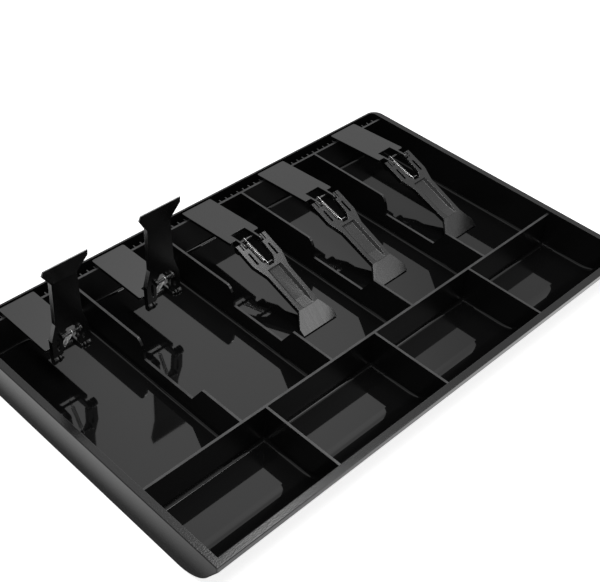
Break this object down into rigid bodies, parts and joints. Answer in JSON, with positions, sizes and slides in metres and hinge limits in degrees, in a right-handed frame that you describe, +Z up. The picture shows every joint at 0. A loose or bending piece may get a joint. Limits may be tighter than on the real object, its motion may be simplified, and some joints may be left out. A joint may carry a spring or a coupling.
{
  "type": "coin tray",
  "caption": "Open moulded cash drawer tray with coin wells in front, long note pockets behind and a sprung hold-down clip over each note pocket.",
  "frame": {"origin": "middle of the tray's footprint, on the flat underside that it stands on", "axes": "+X along the tray to the user's right, +Y towards the note clips at the rear, +Z up out of the pockets"},
  "size_m": [0.405, 0.255, 0.1094],
  "materials": {
    "tray": "glossy moulded floor and walls, lightly grained rim",
    "clip": "satin moulded",
    "spring": "bright drawn wire"
  },
  "bodies": {
    "tray": {"tray": "tray"},
    "bracket_1": {"clip_bracket_1": "clip"},
    "arm_1": {"clip_arm_1": "clip"},
    "spring_1": {"clip_spring_1": "spring"},
    "bracket_2": {"clip_bracket_2": "clip"},
    "arm_2": {"clip_arm_2": "clip"},
    "spring_2": {"clip_spring_2": "spring"},
    "bracket_3": {"clip_bracket_3": "clip"},
    "arm_3": {"clip_arm_3": "clip"},
    "spring_3": {"clip_spring_3": "spring"},
    "bracket_4": {"clip_bracket_4": "clip"},
    "arm_4": {"clip_arm_4": "clip"},
    "spring_4": {"clip_spring_4": "spring"},
    "bracket_5": {"clip_bracket_5": "clip"},
    "arm_5": {"clip_arm_5": "clip"},
    "spring_5": {"clip_spring_5": "spring"}
  },
  "joints": [
    {"name": "bracket_lift_1", "type": "slide", "parent": "tray", "child": "bracket_1", "axis": [0, 0, 1], "range_m": [0, 0.026]},
    {"name": "arm_swing_1", "type": "hinge", "parent": "bracket_1", "child": "arm_1", "pos_m": [-0.15876, 0.0625, 0.0309], "axis": [-1, 0, 0], "range_deg": [-107.07, 3]},
    {"name": "spring_swing_1", "type": "hinge", "parent": "bracket_1", "child": "spring_1", "pos_m": [-0.15876, 0.0707, 0.0292], "axis": [-1, 0, 0], "range_deg": [-77, 4], "deforming": ["clip_spring_1"]},
    {"name": "bracket_lift_2", "type": "slide", "parent": "tray", "child": "bracket_2", "axis": [0, 0, 1], "range_m": [0, 0.026]},
    {"name": "arm_swing_2", "type": "hinge", "parent": "bracket_2", "child": "arm_2", "pos_m": [-0.08232, 0.0625, 0.0309], "axis": [-1, 0, 0], "range_deg": [-110.07, 0]},
    {"name": "spring_swing_2", "type": "hinge", "parent": "bracket_2", "child": "spring_2", "pos_m": [-0.08232, 0.0707, 0.0292], "axis": [-1, 0, 0], "range_deg": [-79, 1], "deforming": ["clip_spring_2"]},
    {"name": "bracket_lift_3", "type": "slide", "parent": "tray", "child": "bracket_3", "axis": [0, 0, 1], "range_m": [0, 0.026]},
    {"name": "arm_swing_3", "type": "hinge", "parent": "bracket_3", "child": "arm_3", "pos_m": [0, 0.06245, 0.03491], "axis": [-1, 0, 0], "range_deg": [0, 117]},
    {"name": "spring_swing_3", "type": "hinge", "parent": "bracket_3", "child": "spring_3", "pos_m": [0, 0.07053, 0.03268], "axis": [-1, 0, 0], "range_deg": [-1, 84], "deforming": ["clip_spring_3"]},
    {"name": "bracket_lift_4", "type": "slide", "parent": "tray", "child": "bracket_4", "axis": [0, 0, 1], "range_m": [0, 0.026]},
    {"name": "arm_swing_4", "type": "hinge", "parent": "bracket_4", "child": "arm_4", "pos_m": [0.07644, 0.06245, 0.03491], "axis": [-1, 0, 0], "range_deg": [0, 117]},
    {"name": "spring_swing_4", "type": "hinge", "parent": "bracket_4", "child": "spring_4", "pos_m": [0.07644, 0.07053, 0.03268], "axis": [-1, 0, 0], "range_deg": [-1, 84], "deforming": ["clip_spring_4"]},
    {"name": "bracket_lift_5", "type": "slide", "parent": "tray", "child": "bracket_5", "axis": [0, 0, 1], "range_m": [0, 0.026]},
    {"name": "arm_swing_5", "type": "hinge", "parent": "bracket_5", "child": "arm_5", "pos_m": [0.15876, 0.06245, 0.03491], "axis": [-1, 0, 0], "range_deg": [0, 117]},
    {"name": "spring_swing_5", "type": "hinge", "parent": "bracket_5", "child": "spring_5", "pos_m": [0.15876, 0.07053, 0.03268], "axis": [-1, 0, 0], "range_deg": [-1, 84], "deforming": ["clip_spring_5"]}
  ],
  "couplings": [
    {"joint": "spring_swing_1", "follows": "arm_swing_1", "ratio": 0.7056},
    {"joint": "spring_swing_2", "follows": "arm_swing_2", "ratio": 0.7056},
    {"joint": "spring_swing_3", "follows": "arm_swing_3", "ratio": 0.7056},
    {"joint": "spring_swing_4", "follows": "arm_swing_4", "ratio": 0.7056},
    {"joint": "spring_swing_5", "follows": "arm_swing_5", "ratio": 0.7056}
  ]
}
